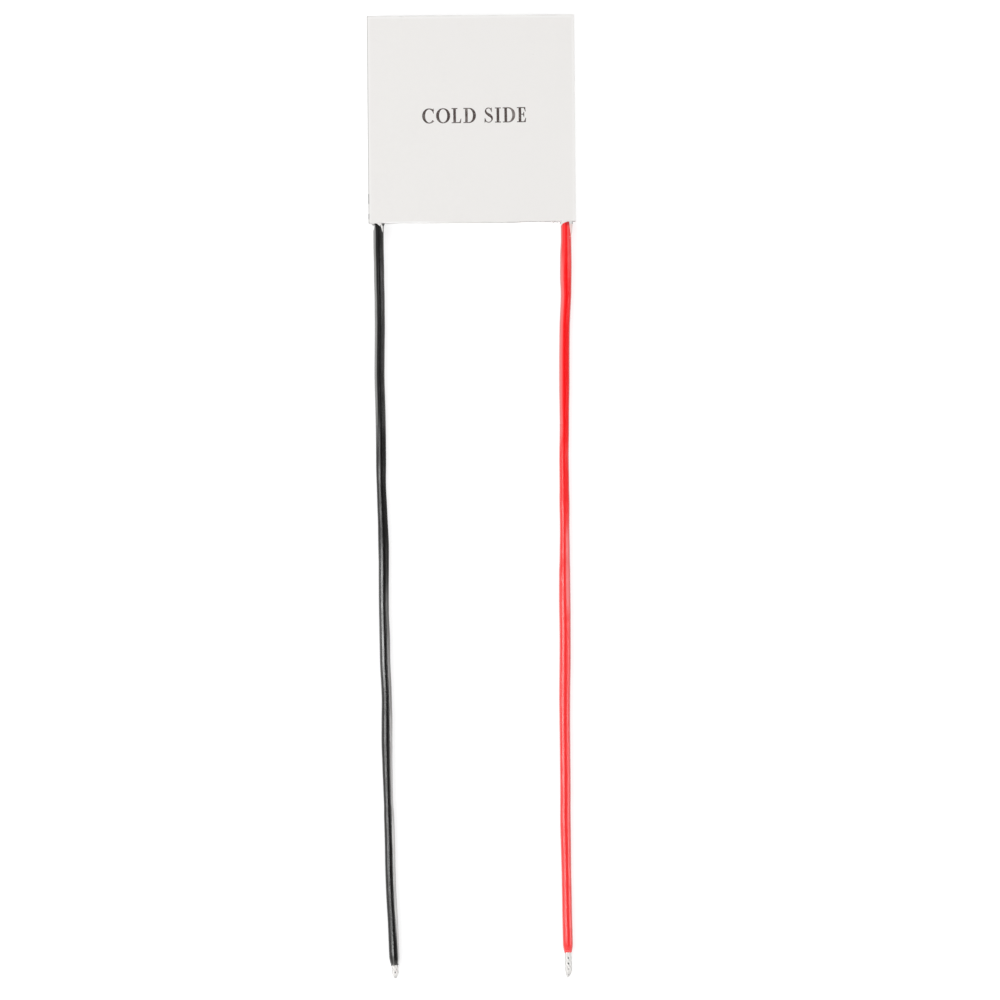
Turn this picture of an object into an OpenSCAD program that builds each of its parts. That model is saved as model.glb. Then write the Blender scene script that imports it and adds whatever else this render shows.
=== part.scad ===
// Square thermoelectric module: a grid of semiconductor legs between two ceramic plates,
// wired in series by copper tabs, sealed round the rim and fed by two insulated leads.
// The hot face lies on z = 0 and the leads leave through the -Y rim. Sizes are in millimetres.

/* [Ceramic plates] */
// Side of each square plate
plate_side = 40; // [34:0.5:50]
// Thickness of each plate
plate_t = 0.8; // [0.5:0.05:1.2]
// Bevel along every edge of a plate
plate_bevel = 0.1; // [0.04:0.02:0.2]
// Bare rim of plate outside the outermost tabs
plate_rim = 1.1; // [0.9:0.05:1.6]

/* [Thermocouples] */
// Places for legs along each side of the grid, an even number
grid_n = 16; // [10:2:18]
// Side of a leg's square section
leg_side = 1.4; // [1:0.05:1.5]
// Height of a leg
leg_h = 1.6; // [1.5:0.05:2.5]
// Thickness of a copper tab
tab_t = 0.35; // [0.3:0.05:0.5]
// How far a tab reaches past its legs all round
tab_lap = 0.1; // [0.05:0.01:0.15]

/* [Seal] */
// Distance from the plates' edge in to the seal
seal_inset = 0.15; // [0.05:0.05:0.3]
// Depth of the hollow along the seal's outer face
seal_dish = 0.2; // [0.1:0.05:0.3]
// Flat band of that face left beside each plate
seal_lip = 0.1; // [0.05:0.05:0.3]
// Clearance between the seal and the outermost tabs
seal_gap = 0.1; // [0.05:0.05:0.25]
// Width of the dab of sealant round a lead, at its root
dab_d = 3.2; // [2.8:0.1:3.4]
// How far the dab runs along the lead past the plates' edge
dab_reach = 1.4; // [0.6:0.1:2]
// Thickness of the dab at its outer end
dab_skin = 0.12; // [0.06:0.01:0.2]

/* [Leads] */
// Diameter over a lead's insulation
lead_d = 2; // [1.6:0.05:2.1]
// Diameter of a lead's stranded conductor
conductor_d = 1.3; // [0.8:0.05:1.4]
// Outer strands in a conductor
strands = 6; // [5:1:8]
// Length of one full turn of the strands
strand_lay = 6.5; // [4:0.5:10]
// Depth of the grooves between strands that the tinning leaves open
strand_groove = 0.1; // [0.04:0.01:0.14]
// Bare conductor at the end of the black lead
black_bare = 2.6; // [1.5:0.1:8]
// Bare conductor at the end of the red lead
red_bare = 4.9; // [1.5:0.1:8]
// Length of the tapered point of a bare conductor
nose_l = 0.9; // [0.4:0.1:1.4]
// Diameter of a bare conductor at the end of its point
nose_d = 0.6; // [0.3:0.05:0.75]
// Clearance between a lead's soldered end and the first leg
tail_gap = 0.3; // [0.1:0.05:0.5]
// How far the solder climbs a lead's soldered end above its axis
solder_climb = 0.3; // [0.1:0.05:0.35]

/* [Hidden] */
gap_h = leg_h + 2 * tab_t;
hot_tab_z = plate_t;
leg_z = plate_t + tab_t;
cold_tab_z = leg_z + leg_h;
cold_plate_z = plate_t + gap_h;

tab_w = leg_side + 2 * tab_lap;
tab_edge = plate_side / 2 - plate_rim;
grid_edge = tab_edge - tab_w / 2;
pitch = 2 * grid_edge / (grid_n - 1);
last_place = grid_n * grid_n - 1;

seal_out = plate_side / 2 - seal_inset;
seal_in = tab_edge + seal_gap;
dish_floor = seal_out - seal_dish;
dish_w = gap_h - 2 * seal_lip;
dish_r = (dish_w * dish_w / 4 + seal_dish * seal_dish) / (2 * seal_dish);
dab_root = (seal_in + dish_floor) / 2;
dab_end = plate_side / 2 + dab_reach;

lead_z = plate_t + gap_h / 2;
lead_sides = 8;
tail_end = grid_edge - pitch + leg_side / 2 + tail_gap;
solder_h = leg_h / 2 + solder_climb;
solder_r = (tab_w * tab_w / 4 + solder_h * solder_h) / (2 * solder_h);

strand_pack = sin(180 / strands);
strand_r = conductor_d / 2 * strand_pack / (1 + strand_pack);
strand_ring_r = conductor_d / 2 - strand_r;
strand_points = 4;
tip_step = 0.35;

// The leads' routes: [shift to the right, distance from the plates' edge, share of the exit's height].
black_route = [
    [0, 2, 1], [0, 5, 0.95], [0.05, 8, 0.8], [0.05, 11, 0.55], [0.1, 14, 0.3], [0.1, 17, 0.1],
    [0.1, 20, 0], [0, 25, 0], [-0.05, 30, 0], [0.05, 35, 0], [0.1, 40, 0], [0.1, 45, 0],
    [0.1, 50, 0], [0.25, 55, 0], [0.4, 60, 0], [0.45, 65, 0], [0.4, 70, 0], [0.4, 75, 0],
    [0.5, 80, 0], [0.55, 85, 0], [0.75, 90, 0], [0.8, 95, 0], [0.75, 100, 0], [0.8, 105, 0],
    [0.9, 110, 0], [1.05, 115, 0], [1.15, 120, 0], [1.2, 125, 0], [1.35, 130, 0], [1.6, 135, 0],
    [1.75, 140, 0], [1.9, 143.2, 0],
];
red_route = [
    [0, 2, 1], [0, 5, 0.95], [0, 8, 0.8], [-0.05, 11, 0.55], [-0.1, 14, 0.3], [-0.25, 17, 0.1],
    [-0.4, 20, 0], [-0.5, 25, 0], [-0.55, 30, 0], [-0.6, 35, 0], [-0.65, 40, 0], [-0.75, 45, 0],
    [-0.75, 50, 0], [-0.75, 55, 0], [-0.75, 60, 0], [-0.8, 65, 0], [-0.85, 70, 0], [-0.85, 75, 0],
    [-0.85, 80, 0], [-0.9, 85, 0], [-1, 90, 0], [-1.05, 95, 0], [-1.05, 100, 0], [-1.05, 105, 0],
    [-1.05, 110, 0], [-1.1, 115, 0], [-1.05, 120, 0], [-1, 125, 0], [-0.95, 130, 0], [-0.9, 135, 0],
    [-0.8, 141, 0],
];

ceramic_colour = [0.925, 0.92, 0.91];
copper_colour = [0.72, 0.45, 0.26];
p_colour = [0.36, 0.37, 0.40];
n_colour = [0.50, 0.50, 0.52];
sealant_colour = [0.95, 0.95, 0.94];
black_colour = [0.10, 0.10, 0.10];
red_colour = [0.93, 0.10, 0.10];
tin_colour = [0.80, 0.80, 0.79];

columns = [0 : grid_n - 1];

function column_name(kind, c) = str(kind, "_legs_column_", c < 9 ? "0" : "", c + 1);

// The series circuit winds up and down the columns. Place 0 holds the black lead's end and the
// last place the red one's. Odd places hold P legs and even places N legs.
function column_of(place) = floor(place / grid_n);
function row_of(place) =
    let (along = place % grid_n)
    column_of(place) % 2 == 0 ? along : grid_n - 1 - along;
function spot(place) = [for (i = [column_of(place), row_of(place)]) i * pitch - grid_edge];

// Frame of a swept tube at point i: its heading, then the two directions across it.
function unit(v) = v / norm(v);
function heading(path, i) = unit(path[min(i + 1, len(path) - 1)] - path[max(i - 1, 0)]);
function sideways(t) = unit(cross(t, [0, 0, 1]));
function ring(centre, t, radii, turn = 0) =
    let (u = sideways(t), v = cross(u, t), n = len(radii))
    [for (k = [0 : n - 1])
        let (a = 360 * (k + 0.5) / n + turn)
        centre + radii[k] * (cos(a) * u + sin(a) * v)];

// Points along a lead's insulation, from the seal's inner face to the stripped end.
function lead_path(side, route) =
    let (rise = lead_z - lead_d / 2)
    concat(
        [[side * grid_edge, -seal_in, lead_z]],
        [for (p = route) [side * grid_edge + p[0], -plate_side / 2 - p[1], lead_d / 2 + p[2] * rise]]
    );

// Radius of a twisted bundle at an angle from a strand's middle, with tinning in the grooves.
function bundle_r(angle) =
    let (
        across = strand_ring_r * sin(angle),
        crest = strand_ring_r * cos(angle) + sqrt(max(0, strand_r * strand_r - across * across))
    )
    max(crest, conductor_d / 2 - strand_groove);
bundle = [for (s = [1 : strands], k = [0 : strand_points - 1])
    bundle_r((k / strand_points - 0.5) * 360 / strands)];

// Closed skin over a row of rings, with a fan of triangles from the middle of each end.
module skin(rings, first_middle, last_middle) {
    n = len(rings[0]);
    last = len(rings) - 1;
    start = n * len(rings);
    edges = [for (k = [0 : n - 1]) [k, (k + 1) % n]];
    polyhedron(
        points = concat([for (r = rings) each r], [first_middle, last_middle]),
        faces = concat(
            [for (e = edges) [start, e[1], e[0]]],
            [for (i = [0 : last - 1], e = edges)
                let (a = i * n + e[0], b = i * n + e[1])
                each [[a, b, b + n], [a, b + n, a + n]]],
            [for (e = edges) [start + 1, last * n + e[0], last * n + e[1]]]
        )
    );
}

module bevelled_rectangle(w, h) {
    corners = [[1, 1], [-1, 1], [-1, -1], [1, -1]];
    polygon([for (i = [0 : 3], first = [true, false])
        let (cut = (i % 2 == 0) == first ? [0, plate_bevel] : [plate_bevel, 0])
        [corners[i].x * (w / 2 - cut.x), corners[i].y * (h / 2 - cut.y)]]);
}

// Bar as long as the plate is wide, with the section of the plate's bevelled edges.
module edge_bar(turn) {
    translate([0, 0, plate_t / 2])
        rotate([90, 0, turn])
            linear_extrude(plate_side, center = true)
                bevelled_rectangle(plate_side, plate_t);
}

module plate(z) {
    translate([0, 0, z])
        intersection() {
            linear_extrude(plate_t)
                bevelled_rectangle(plate_side, plate_side);
            edge_bar(0);
            edge_bar(90);
        }
}

module hot_plate() {
    color(ceramic_colour) plate(0);
}

module cold_plate() {
    color(ceramic_colour) plate(cold_plate_z);
}

// Copper tab that joins one place of the circuit to the next.
module tab(place, z) {
    ends = [spot(place), spot(place + 1)];
    middle = (ends[0] + ends[1]) / 2;
    span = [for (i = [0, 1]) abs(ends[1][i] - ends[0][i]) + tab_w];
    translate([middle.x, middle.y, z])
        linear_extrude(tab_t)
            square(span, center = true);
}

module hot_tabs() {
    color(copper_colour)
        for (place = [2 : 2 : last_place - 3]) tab(place, hot_tab_z);
}

module cold_tabs() {
    color(copper_colour)
        for (place = [1 : 2 : last_place - 2]) tab(place, cold_tab_z);
}

module terminal_tab(place) {
    color(copper_colour) tab(place, hot_tab_z);
}

module leg(place) {
    middle = spot(place);
    translate([middle.x, middle.y, leg_z])
        linear_extrude(leg_h)
            square(leg_side, center = true);
}

module p_legs(column) {
    first = column * grid_n;
    color(p_colour)
        for (place = [first + 1 : 2 : first + grid_n - 1])
            if (place < last_place) leg(place);
}

module n_legs(column) {
    first = column * grid_n;
    color(n_colour)
        for (place = [first : 2 : first + grid_n - 2])
            if (place > 0) leg(place);
}

// Round bar that hollows the seal's outer face along one side.
module seal_hollow() {
    translate([0, dish_floor + dish_r, lead_z])
        rotate([0, 90, 0])
            cylinder(r = dish_r, h = plate_side, center = true, $fn = 96);
}

module seal_ring() {
    difference() {
        translate([0, 0, plate_t])
            linear_extrude(gap_h)
                difference() {
                    square(2 * seal_out, center = true);
                    square(2 * seal_in, center = true);
                }
        for (turn = [0 : 90 : 270]) rotate(turn) seal_hollow();
    }
}

// Dab of sealant that tapers onto a lead, no higher than the space between the plates.
module seal_dab(side) {
    intersection() {
        translate([side * grid_edge, -dab_root, lead_z])
            rotate([90, 0, 0])
                cylinder(d1 = dab_d, d2 = lead_d + 2 * dab_skin, h = dab_end - dab_root, $fn = 64);
        translate([0, 0, plate_t])
            linear_extrude(gap_h)
                square(2 * dab_end, center = true);
    }
}

module lead_bore(side) {
    bore_l = 2 * (dab_end - seal_in);
    translate([side * grid_edge, -(dab_end + seal_in) / 2, lead_z])
        rotate([90, 0, 0])
            cylinder(d = lead_d, h = bore_l, center = true, $fn = 64);
}

module perimeter_seal() {
    color(sealant_colour)
        difference() {
            union() {
                seal_ring();
                for (side = [-1, 1]) seal_dab(side);
            }
            for (side = [-1, 1]) lead_bore(side);
        }
}

module lead(side, route) {
    path = lead_path(side, route);
    last = len(path) - 1;
    round_section = [for (k = [1 : lead_sides]) lead_d / 2];
    skin(
        [for (i = [0 : last]) ring(path[i], heading(path, i), round_section)],
        path[0],
        path[last]
    );
}

module black_lead() {
    color(black_colour) lead(-1, black_route);
}

module red_lead() {
    color(red_colour) lead(1, red_route);
}

// Bare twisted conductor that carries on from the stripped end of a lead, tapered at its point.
module lead_tip(side, route, bare) {
    path = lead_path(side, route);
    end = path[len(path) - 1];
    t = heading(path, len(path) - 1);
    steps = ceil(bare / tip_step);
    rings = [for (i = [0 : steps])
        let (
            along = bare * i / steps,
            into_nose = max(0, along - (bare - nose_l)) / nose_l,
            taper = 1 - into_nose * (1 - nose_d / conductor_d)
        )
        ring(end + along * t, t, bundle * taper, 360 * along / strand_lay)];
    color(tin_colour) skin(rings, end, end + bare * t);
}

// Conductor inside the module, lying along its terminal tab.
module lead_tail(side) {
    color(tin_colour)
        translate([side * grid_edge, -seal_in, lead_z])
            rotate([-90, 0, 0])
                cylinder(d = conductor_d, h = seal_in - tail_end, $fn = 48);
}

module terminal_solder(side) {
    color(tin_colour)
        difference() {
            translate([side * grid_edge, -tail_end, leg_z])
                rotate([90, 0, 0])
                    linear_extrude(tab_edge - tail_end)
                        intersection() {
                            translate([0, solder_h - solder_r]) circle(r = solder_r, $fn = 64);
                            translate([-tab_w / 2, 0]) square([tab_w, solder_h]);
                        }
            lead_tail(side);
        }
}

hot_plate();
cold_plate();
hot_tabs();
cold_tabs();
terminal_tab(0);  // black_terminal_tab
terminal_tab(last_place - 1);  // red_terminal_tab
for (c = columns) {
    p_legs(c);
    n_legs(c);
}
perimeter_seal();
black_lead();
red_lead();
lead_tip(-1, black_route, black_bare);  // black_lead_tip
lead_tip(1, red_route, red_bare);  // red_lead_tip
lead_tail(-1);  // black_lead_tail
lead_tail(1);  // red_lead_tail
terminal_solder(-1);  // black_terminal_solder
terminal_solder(1);  // red_terminal_solder
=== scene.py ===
"""Looks of a square thermoelectric module with two leads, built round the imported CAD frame, in metres."""

import math

import bmesh
import bpy
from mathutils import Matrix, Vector, geometry, noise

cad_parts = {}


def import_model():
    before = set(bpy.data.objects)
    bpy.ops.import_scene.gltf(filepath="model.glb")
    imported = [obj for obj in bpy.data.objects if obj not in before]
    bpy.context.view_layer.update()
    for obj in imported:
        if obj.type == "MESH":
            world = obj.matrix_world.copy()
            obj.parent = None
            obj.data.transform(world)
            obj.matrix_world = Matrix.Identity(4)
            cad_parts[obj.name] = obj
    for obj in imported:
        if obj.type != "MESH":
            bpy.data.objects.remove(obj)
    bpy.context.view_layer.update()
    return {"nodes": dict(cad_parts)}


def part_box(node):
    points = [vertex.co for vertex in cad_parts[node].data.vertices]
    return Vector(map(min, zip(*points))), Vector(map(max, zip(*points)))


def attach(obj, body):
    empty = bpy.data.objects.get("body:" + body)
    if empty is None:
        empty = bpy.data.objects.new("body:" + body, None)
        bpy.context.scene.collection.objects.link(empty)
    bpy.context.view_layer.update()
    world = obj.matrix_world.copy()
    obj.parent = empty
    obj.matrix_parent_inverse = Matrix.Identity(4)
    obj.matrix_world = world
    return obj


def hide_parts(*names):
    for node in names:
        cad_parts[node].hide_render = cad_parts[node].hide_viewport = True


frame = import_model()
nodes = frame["nodes"]
MM = 0.001

# Places and sizes taken from the frame
hot_low, hot_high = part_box("hot_plate")
cold_low, cold_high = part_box("cold_plate")
seal_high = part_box("perimeter_seal")[1]
tail_low, tail_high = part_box("black_lead_tail")
HALF_PLATE = cold_high.x
FRONT_Y = -HALF_PLATE
GAP_LOW = hot_high.z
GAP_HIGH = cold_low.z
TOP_Z = cold_high.z
LEAD_X = -(tail_low.x + tail_high.x) / 2
LEAD_Z = (tail_low.z + tail_high.z) / 2
LEAD_START_Y = tail_low.y
SEAL_IN = -LEAD_START_Y
SEAL_OUT = seal_high.x

# Sizes of the leads
LEAD_R = 1.0 * MM
CONDUCTOR_R = 0.65 * MM
STRAND_LAY = 6.5 * MM
STRANDS = 6
BLACK_BARE = 2.6 * MM
RED_BARE = 4.9 * MM
PATH_STEP = 0.5 * MM

# The leads' routes: shift right and distance past the plates in millimetres, share of the exit's height
BLACK_ROUTE = [
    (0, 2, 1), (0, 5, 0.95), (0.05, 8, 0.8), (0.05, 11, 0.55), (0.1, 14, 0.3), (0.1, 17, 0.1),
    (0.1, 20, 0), (0, 25, 0), (-0.05, 30, 0), (0.05, 35, 0), (0.1, 40, 0), (0.1, 45, 0),
    (0.1, 50, 0), (0.25, 55, 0), (0.4, 60, 0), (0.45, 65, 0), (0.4, 70, 0), (0.4, 75, 0),
    (0.5, 80, 0), (0.55, 85, 0), (0.75, 90, 0), (0.8, 95, 0), (0.75, 100, 0), (0.8, 105, 0),
    (0.9, 110, 0), (1.05, 115, 0), (1.15, 120, 0), (1.2, 125, 0), (1.35, 130, 0), (1.6, 135, 0),
    (1.75, 140, 0), (1.9, 143.2, 0),
]
RED_ROUTE = [
    (0, 2, 1), (0, 5, 0.95), (0, 8, 0.8), (-0.05, 11, 0.55), (-0.1, 14, 0.3), (-0.25, 17, 0.1),
    (-0.4, 20, 0), (-0.5, 25, 0), (-0.55, 30, 0), (-0.6, 35, 0), (-0.65, 40, 0), (-0.75, 45, 0),
    (-0.75, 50, 0), (-0.75, 55, 0), (-0.75, 60, 0), (-0.8, 65, 0), (-0.85, 70, 0), (-0.85, 75, 0),
    (-0.85, 80, 0), (-0.9, 85, 0), (-1, 90, 0), (-1.05, 95, 0), (-1.05, 100, 0), (-1.05, 105, 0),
    (-1.05, 110, 0), (-1.1, 115, 0), (-1.05, 120, 0), (-1, 125, 0), (-0.95, 130, 0), (-0.9, 135, 0),
    (-0.8, 141, 0),
]

# Girths along the leads: distance past the plates in millimetres, share of the usual girth
BLACK_GIRTH = [
    (0, 0.99), (46, 0.98), (50.5, 0.91), (56, 0.95), (62, 1.04), (66, 1.01), (70, 0.99), (76, 0.99),
    (80, 1.04), (84, 1.03), (92, 0.99), (96, 1.06), (100, 1.05), (105, 0.97), (109, 0.91), (112, 0.9),
    (115, 0.98), (120, 1.0),
]
RED_GIRTH = [
    (0, 1.01), (3, 1.02), (8, 1.05), (13, 1.04), (17, 1.0), (30, 1.0), (39, 0.9), (45, 0.92), (51, 0.94),
    (54, 0.99), (59, 0.95), (64, 1.01), (68, 1.1), (74, 1.13), (80, 1.09), (86, 1.09), (91, 1.07), (97, 1.03),
    (112, 1.02), (117, 1.04), (126, 0.96), (138, 0.97),
]

# Places of painted shade on the plates' left edge in millimetres: place along the edge, half length
EDGE_SHADE_PATCHES = [(-15.3, 1.3), (-18.7, 0.7)]

# Places of painted shade, partly dust, on the sealant: place along the front and half length in millimetres,
# how dark
SHADE_AND_DUST = [(-18.95, 0.72, 0.95), (16.1, 1.5, 0.75), (17.0, 0.35, 1.0), (19.6, 0.4, 1.0)]

# Narrow places of the black lead's painted highlight on its right: y, half length and where it ends in
# millimetres, how much narrower
NARROWS = [(-146, 4, 8, -0.08), (-126.5, 4.5, 12, -0.13)]

# Stretches of the red lead with less sheen: y of both ends in millimetres, sideways facing where it sets in
QUIET = [(-80, -64, 0.05), (-66, -26, -0.45)]


# Materials

class Graph:
    """A node tree, with short calls for the nodes that the finishes, the floor and the world share."""

    def __init__(self, tree):
        self.tree = tree

    def node(self, kind, **settings):
        made = self.tree.nodes.new(kind)
        for name, value in settings.items():
            setattr(made, name, value)
        return made

    def link(self, source, target):
        self.tree.links.new(source, target)

    def axes(self, vector):
        """The x, y and z of a vector."""
        made = self.node("ShaderNodeSeparateXYZ")
        self.link(vector, made.inputs[0])
        return [made.outputs[name] for name in "XYZ"]

    def math(self, operation, a, b):
        made = self.node("ShaderNodeMath", operation=operation)
        for socket, value in zip(made.inputs, (a, b)):
            if isinstance(value, float):
                socket.default_value = value
            else:
                self.link(value, socket)
        return made.outputs[0]

    def times(self, product, *others):
        """Values multiplied together."""
        for value in others:
            product = self.math("MULTIPLY", product, value)
        return product

    def most(self, largest, *others):
        """The largest of some values."""
        for value in others:
            largest = self.math("MAXIMUM", largest, value)
        return largest

    def off(self, value, place):
        """How far a value lies from a place, to either side."""
        return self.math("ABSOLUTE", self.math("SUBTRACT", value, place), 0.0)

    def between(self, value, low, high, at_low=0.0, at_high=1.0):
        """A value's range from low to high spread over another range, smoothly and with no overshoot."""
        made = self.node("ShaderNodeMapRange", interpolation_type="SMOOTHSTEP")
        self.link(value, made.inputs["Value"])
        for name, number in zip(("From Min", "From Max", "To Min", "To Max"), (low, high, at_low, at_high)):
            made.inputs[name].default_value = number
        return made.outputs["Result"]

    def stretch(self, value, start, full, fall, end):
        """1 from full to fall, eased to 0 at start and at end."""
        return self.times(self.between(value, start, full), self.between(value, fall, end, 1.0, 0.0))


class Shader(Graph):
    """A material with one principled surface."""

    def __init__(self, name):
        self.material = bpy.data.materials.new(name)
        self.material.use_nodes = True
        super().__init__(self.material.node_tree)
        self.surface = self.tree.nodes["Principled BSDF"]
        self.place = self.node("ShaderNodeTexCoord").outputs["Object"]

    def set(self, **values):
        """Sets the surface's own sockets, with underscores for spaces in their names."""
        for name, value in values.items():
            self.surface.inputs[name.replace("_", " ")].default_value = value

    def noise(self, size, detail=2.0, place=None):
        """Noise from 0 to 1 with features about that size across, in metres."""
        made = self.node("ShaderNodeTexNoise")
        made.inputs["Scale"].default_value = 1 / size
        made.inputs["Detail"].default_value = detail
        self.link(place or self.place, made.inputs["Vector"])
        return made.outputs["Fac"]

    def varied(self, size, low, high, detail=2.0):
        """A value that wanders from low to high with features about that size across, in metres."""
        return self.between(self.noise(size, detail), 0.3, 0.7, low, high)

    def cells(self, size):
        """Outputs of cells about that size across, in metres."""
        made = self.node("ShaderNodeTexVoronoi")
        made.inputs["Scale"].default_value = 1 / size
        self.link(self.place, made.inputs["Vector"])
        return made.outputs

    def stretched(self, x, y, z):
        """The object's coordinates with each axis multiplied, to draw features out along one of them."""
        made = self.node("ShaderNodeVectorMath", operation="MULTIPLY")
        self.link(self.place, made.inputs[0])
        made.inputs[1].default_value = (x, y, z)
        return made.outputs[0]

    def distance(self, origin, direction):
        """How far the surface lies from a point in one direction."""
        offset = self.node("ShaderNodeVectorMath", operation="SUBTRACT")
        self.link(self.place, offset.inputs[0])
        offset.inputs[1].default_value = origin
        made = self.node("ShaderNodeVectorMath", operation="DOT_PRODUCT")
        self.link(offset.outputs[0], made.inputs[0])
        made.inputs[1].default_value = direction
        return made.outputs["Value"]

    def mix(self, share, a, b):
        """Colour a at share 0 and b at share 1. Each is three numbers or a socket."""
        made = self.node("ShaderNodeMix", data_type="RGBA")
        self.link(share, made.inputs["Factor"])
        for socket, colour in zip((made.inputs[6], made.inputs[7]), (a, b)):
            if isinstance(colour, tuple):
                socket.default_value = (*colour, 1)
            else:
                self.link(colour, socket)
        return made.outputs[2]

    def colour(self, socket):
        self.link(socket, self.surface.inputs["Base Color"])

    def rough(self, socket):
        self.link(socket, self.surface.inputs["Roughness"])

    def sheen(self, socket):
        self.link(socket, self.surface.inputs["Specular IOR Level"])

    def bump(self, height, depth, strength=1.0):
        made = self.node("ShaderNodeBump")
        made.inputs["Distance"].default_value = depth
        made.inputs["Strength"].default_value = strength
        self.link(height, made.inputs["Height"])
        self.link(made.outputs["Normal"], self.surface.inputs["Normal"])


def ceramic():
    """Sintered alumina: off-white, a faint mottle, rare specks and a paler rim, with painted shade along the
    edge and on the lower plate's front rim, and painted light on the front edge by the black lead.
    """
    s = Shader("alumina")
    x, y, z = s.axes(s.place)
    out_x = s.off(x, 0.0)
    out_y = s.off(y, 0.0)
    base = s.mix(s.noise(14 * MM), (0.826, 0.808, 0.788), (0.848, 0.832, 0.814))
    mottled = s.mix(s.between(s.noise(0.9 * MM, 4), 0.35, 0.7), base, (0.842, 0.825, 0.806))
    speck = s.between(s.cells(3.4 * MM)["Distance"], 0.012, 0.03, 0.3, 0.0)
    clean = s.mix(speck, mottled, (0.50, 0.48, 0.45))
    paler = s.between(s.most(out_x, y), HALF_PLATE - 0.75 * MM, HALF_PLATE - 0.4 * MM, 0.0, 0.6)
    rim = s.mix(paler, clean, (0.885, 0.875, 0.862))
    # Painted light: the plates' front edge, from beside the black lead towards the middle, is painted near
    # white where it would lie in shade.
    front = s.between(y, FRONT_Y + 0.22 * MM, FRONT_Y + 0.32 * MM, 0.9, 0.0)
    by_black = s.stretch(x, -17.2 * MM, -16.4 * MM, -11 * MM, -3 * MM)
    rim = s.mix(s.times(front, by_black), rim, (0.985, 0.98, 0.975))
    left = s.between(x, 0.3 * MM - HALF_PLATE, 0.4 * MM - HALF_PLATE, 1.0, 0.0)
    on_top = s.times(left, s.between(z, TOP_Z - 0.25 * MM, TOP_Z - 0.12 * MM))
    # Painted shade: patchy dark grey along the plates' outer edge, faint by the right edge and stronger along
    # the upper plate's left top rim, for the shaded side of the edge.
    deepest = s.between(x, HALF_PLATE - 0.5 * MM, HALF_PLATE - 0.3 * MM, 0.18, 0.04)
    patchy_edge_shade = s.times(s.between(s.noise(2.6 * MM), 0.36, 0.74), deepest)
    edge_shade = s.most(patchy_edge_shade, s.times(on_top, 0.4))
    for place, half_l in EDGE_SHADE_PATCHES:
        patch = s.between(s.off(y, place * MM), 0.6 * half_l * MM, half_l * MM, 0.95, 0.0)
        edge_shade = s.most(edge_shade, s.times(on_top, patch))
    edge = s.between(s.most(out_x, out_y), HALF_PLATE - 0.24 * MM, HALF_PLATE - 0.16 * MM)
    # Painted shade: dark grey in patches on the lower plate's front rim, under the upper plate's overhang.
    on_lower = s.stretch(z, GAP_LOW - 0.2 * MM, GAP_LOW - 0.1 * MM, GAP_LOW + 0.1 * MM, GAP_LOW + 0.2 * MM)
    at_front = s.between(y, FRONT_Y + 0.34 * MM, FRONT_Y + 0.44 * MM, 1.0, 0.0)
    to_right = s.between(x, -8 * MM, 17 * MM)
    broken = s.between(s.noise(0.7 * MM, 3), 0.3, 0.6, 0.6, 1.0)
    lower_rim_shade = s.times(on_lower, at_front, to_right, broken)
    s.colour(s.mix(s.most(s.times(edge, edge_shade), lower_rim_shade), rim, (0.27, 0.265, 0.26)))
    s.rough(s.varied(3 * MM, 0.46, 0.58, 3))
    s.bump(s.noise(0.12 * MM, 3), 0.004 * MM)
    s.set(IOR=1.6)
    return s.material


def sealant():
    """White silicone with a soft uneven skin, with painted shade, partly dust, by the leads' exits, and
    tinted beside the red one.
    """
    s = Shader("silicone_sealant")
    x, y, z = s.axes(s.place)
    white = s.mix(s.noise(1.4 * MM, 3), (0.80, 0.80, 0.785), (0.92, 0.92, 0.905))
    shade_and_dust = 0.0
    for place, half_l, share in SHADE_AND_DUST:
        shade_and_dust = s.most(shade_and_dust, s.between(s.off(x, place * MM), 0.7 * half_l * MM, half_l * MM, share, 0.0))
    # Painted shade, partly dust: dark grey on the bead's front in the groove at the listed places, away from
    # its top and its foot.
    groove = s.stretch(y, FRONT_Y - 0.42 * MM, FRONT_Y - 0.28 * MM, FRONT_Y + 0.8 * MM, FRONT_Y + 1.0 * MM)
    height = s.math("ADD", z, s.varied(0.5 * MM, -0.3 * MM, 0.3 * MM))
    low, high = GAP_LOW + 0.6 * MM, GAP_HIGH - 0.2 * MM
    proud = s.stretch(height, low, low + 0.4 * MM, high - 0.5 * MM, high)
    patchy = s.between(s.noise(0.6 * MM, 3), 0.3, 0.55, 0.5, 1.0)
    dust = s.times(shade_and_dust, groove, proud, patchy)
    past_edge = s.between(y, FRONT_Y - 0.5 * MM, FRONT_Y - 0.2 * MM, 0.7, 0.0)
    by_red = s.times(past_edge, s.between(x, LEAD_X + 0.2 * MM, LEAD_X + 0.5 * MM))
    tinted = s.mix(by_red, white, (0.98, 0.70, 0.66))
    s.colour(s.mix(dust, tinted, (0.20, 0.195, 0.185)))
    s.rough(s.varied(0.8 * MM, 0.32, 0.5))
    s.bump(s.noise(0.5 * MM, 3), 0.03 * MM, 0.6)
    s.set(IOR=1.41)
    return s.material


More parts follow.
